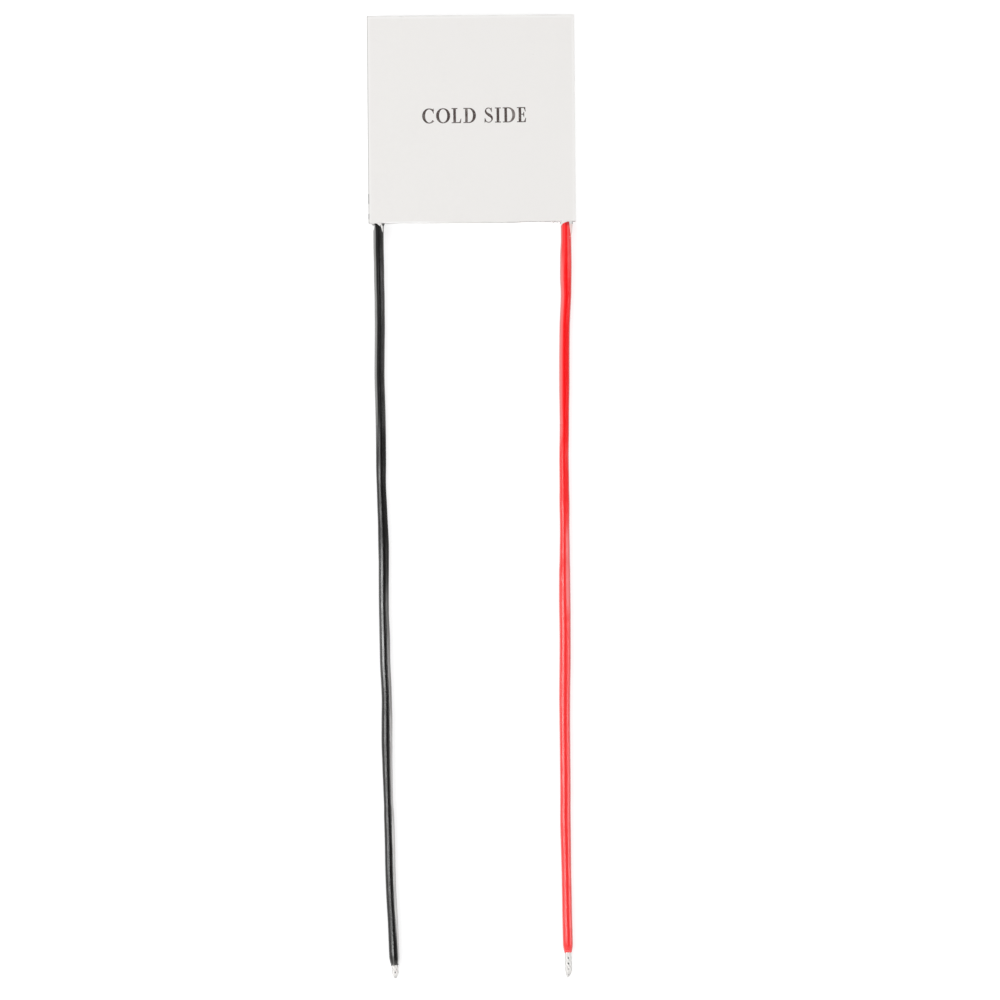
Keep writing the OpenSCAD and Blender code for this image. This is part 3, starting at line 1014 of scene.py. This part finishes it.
def letter_l():
    return [*upright(SERIF), *arm(SERIF, 0.60, 0, 1)], 0.66


def letter_d():
    stem = upright(SERIF)[:1]
    serifs = [bar(0, y, 0.3, y + HAIR) for y in (0, 1 - HAIR)]
    ends = [bar(SERIF, y, 0.36, y + HAIR) for y in (0, 1 - HAIR)]
    return [*stem, *serifs, *ends, *bowl(0.36, 0.37, 90, -90)], 0.82


def letter_i():
    return upright(SERIF), 2 * SERIF + STEM


def letter_e():
    middle = bar(SERIF, 0.5, 0.44, 0.5 + HAIR)
    wedge = [(0.40, 0.5), (0.44, 0.36), (0.475, 0.36), (0.475, 0.68), (0.44, 0.68), (0.40, 0.545)]
    return [*upright(SERIF), *arm(SERIF, 0.56, 0, 1), *arm(SERIF, 0.54, 1, -1), middle, wedge], 0.62


def letter_s():
    spine_reach, spine_swelling = 0.40, 0.135
    knots = [
        (0.50, 0.77), (0.43, 0.92), (0.30, 0.975), (0.155, 0.92), (0.105, 0.77), (0.19, 0.62), (0.34, 0.51),
        (0.49, 0.38), (0.53, 0.22), (0.44, 0.07), (0.29, 0.025), (0.14, 0.09), (0.06, 0.25),
    ]
    line = smooth_path([Vector((x, y, 0)) for x, y in knots], 0.02)
    points = [(p.x, p.y) for p in line]
    widths = []
    for i, (_, y) in enumerate(points):
        near_spine = max(0.0, 1 - abs(y - 0.5) / spine_reach)
        middle = 1 if 0.2 < i / len(points) < 0.8 else 0
        widths.append(HAIR + spine_swelling * near_spine * middle)
    top_beak = [(0.475, 0.99), (0.515, 0.99), (0.525, 0.70), (0.495, 0.70), (0.45, 0.85)]
    low_beak = [(0.03, 0.01), (0.075, 0.01), (0.115, 0.13), (0.07, 0.30), (0.035, 0.30)]
    return [*stroke(points, widths), top_beak[::-1], low_beak], 0.60


def joined(shapes):
    """Points and triangles of the flat area that the shapes cover together."""
    spots, outlines = [], []
    for shape in shapes:
        outlines.append(list(range(len(spots), len(spots) + len(shape))))
        spots.extend(Vector(p) for p in shape)
    flat, _, faces, _, _, owners = geometry.delaunay_2d_cdt(spots, [], outlines, 1, 1e-5)
    return flat, [face for face, owner in zip(faces, owners) if owner]


def lettering(name, letters, middle, height, width, tilt):
    """Letters centred on a point of the cold face and spaced out to a width, as one thin raised film."""
    drawn = [make() if make else ([], SPACE) for make in letters]
    used = sum(advance for _, advance in drawn)
    space = (width / height - used) / (len(drawn) - 1)
    film = 0.006 * MM
    shapes = []
    pen = -width / height / 2
    for outlines, advance in drawn:
        for outline in outlines:
            shapes.append([(pen + x, y - 0.5) for x, y in outline])
        pen += advance + space
    flat, triangles = joined(shapes)
    points = []
    for lift in (0, film):
        for x, y in flat:
            right = height * (x * math.cos(tilt) - y * math.sin(tilt))
            up = height * (x * math.sin(tilt) + y * math.cos(tilt))
            points.append(Vector((middle[0] + right, middle[1] + up, TOP_Z + lift)))
    count = len(flat)
    edges = {(a, b) for p, q, r in triangles for a, b in ((p, q), (q, r), (r, p))}
    faces = [(r, q, p) for p, q, r in triangles]
    faces += [(p + count, q + count, r + count) for p, q, r in triangles]
    faces += [(a, b, b + count, a + count) for a, b in sorted(edges) if (b, a) not in edges]
    piece(name, points, faces, INK, smooth=False)


WORDS = [letter_c, letter_o, letter_l, letter_d, None, letter_s, letter_i, letter_d, letter_e]
lettering("cold_side_lettering", WORDS, (0.62 * MM, 0.66 * MM), 2.9 * MM, 20.0 * MM, math.radians(0.35))


# Camera, in millimetres from the plate's middle, over the photo's centre

CAMERA_XY = (4.90, -73.54)
CAMERA_HEIGHT = 1400
CAMERA_LENS = 260.7
CAMERA_ROLL = -0.5

scene = bpy.context.scene
lens = bpy.data.cameras.new("camera")
lens.lens = CAMERA_LENS
lens.sensor_width = 36
lens.clip_start = 0.01
lens.clip_end = 50
camera = bpy.data.objects.new("camera", lens)
camera.location = (CAMERA_XY[0] * MM, CAMERA_XY[1] * MM, CAMERA_HEIGHT * MM)
camera.rotation_euler = (0, 0, math.radians(CAMERA_ROLL))
scene.collection.objects.link(camera)
scene.camera = camera

# Finishes of the CAD nodes that stay

for name, obj in nodes.items():
    if name.startswith("p_legs"):
        finish = P_TELLURIDE
    elif name.startswith("n_legs"):
        finish = N_TELLURIDE
    elif name.endswith("_solder"):
        finish = SOLDER
    elif name.endswith("_tail"):
        finish = TINNED
    elif name.endswith("_tabs") or name.endswith("_tab"):
        finish = COPPER
    else:
        continue
    obj.data.materials.clear()
    obj.data.materials.append(finish)


# Floor, world and lamps

def floor():
    """White ground that keeps the object's shadow and glows where it is seen."""
    size, drop, glowing, grey = 12.0, 0.05 * MM, 0.7, 0.45
    mesh = bpy.data.meshes.new("floor")
    mesh.from_pydata([(x * size, y * size, -drop) for x, y in CORNERS], [], [(0, 1, 2, 3)])
    made = bpy.data.objects.new("floor", mesh)
    scene.collection.objects.link(made)
    material = bpy.data.materials.new("floor_white")
    material.use_nodes = True
    material.node_tree.nodes.clear()
    graph = Graph(material.node_tree)
    ray = graph.node("ShaderNodeLightPath").outputs
    seen = graph.most(ray["Is Camera Ray"], ray["Is Glossy Ray"], ray["Is Transmission Ray"])
    glow = graph.node("ShaderNodeEmission")
    graph.link(graph.times(seen, glowing), glow.inputs["Strength"])
    matte = graph.node("ShaderNodeBsdfDiffuse")
    matte.inputs["Color"].default_value = (grey, grey, grey, 1)
    both = graph.node("ShaderNodeAddShader")
    graph.link(matte.outputs[0], both.inputs[0])
    graph.link(glow.outputs[0], both.inputs[1])
    graph.link(both.outputs[0], graph.node("ShaderNodeOutputMaterial").inputs["Surface"])
    mesh.materials.append(material)


def world():
    """A white studio tent: bright walls, a little dimmer in front, and a dim opening overhead."""
    made = bpy.data.worlds.new("tent")
    scene.world = made
    made.use_nodes = True
    made.node_tree.nodes.clear()
    graph = Graph(made.node_tree)
    _, y, z = graph.axes(graph.node("ShaderNodeTexCoord").outputs["Generated"])
    overhead = graph.between(z, 0.15, 0.75, 1.0, 0.2)
    front = graph.between(y, -0.9, -0.3, 0.75, 1.0)
    light = graph.node("ShaderNodeBackground")
    graph.link(graph.times(overhead, front), light.inputs["Strength"])
    graph.link(light.outputs[0], graph.node("ShaderNodeOutputWorld").inputs["Surface"])


def softbox(name, place, aim, width, height, radiance, mirrored=True):
    """A rectangular lamp at a place, aimed at a point, with that brightness where white is 1.

    A lamp that isn't mirrored only fills shadows, and shows in no glossy surface.
    """
    lamp = bpy.data.lights.new(name, "AREA")
    lamp.shape = "RECTANGLE"
    lamp.size, lamp.size_y = width, height
    lamp.energy = radiance * math.pi * width * height
    made = bpy.data.objects.new(name, lamp)
    made.location = place
    made.rotation_euler = (Vector(aim) - Vector(place)).to_track_quat("-Z", "Y").to_euler()
    made.visible_camera = False
    made.visible_glossy = mirrored
    scene.collection.objects.link(made)


floor()
world()
softbox("left_low", (-0.54, -0.138, 0.56), (0, -0.10, 0), 0.145, 0.58, 8.6)
softbox("left_top", (-0.62, -0.01, 0.07), (0, -0.01, 0), 0.12, 0.13, 10.0, mirrored=False)
softbox("left_end", (-0.29, -0.232, 0.74), (0, -0.16, 0), 0.045, 0.24, 19.0)
softbox("right_low", (0.60, -0.185, 0.26), (0, -0.13, 0), 0.17, 0.30, 6.0)
softbox("right_top", (0.46, -0.09, 0.59), (0, -0.03, 0), 0.07, 0.22, 4.2)
softbox("back", (0, 0.48, 0.70), (0, -0.05, 0), 0.5, 0.5, 2.87)
softbox("front", (0, -0.85, 0.15), (0, -0.04, 0), 0.6, 0.28, 4.5, mirrored=False)

scene.view_settings.view_transform = "Standard"
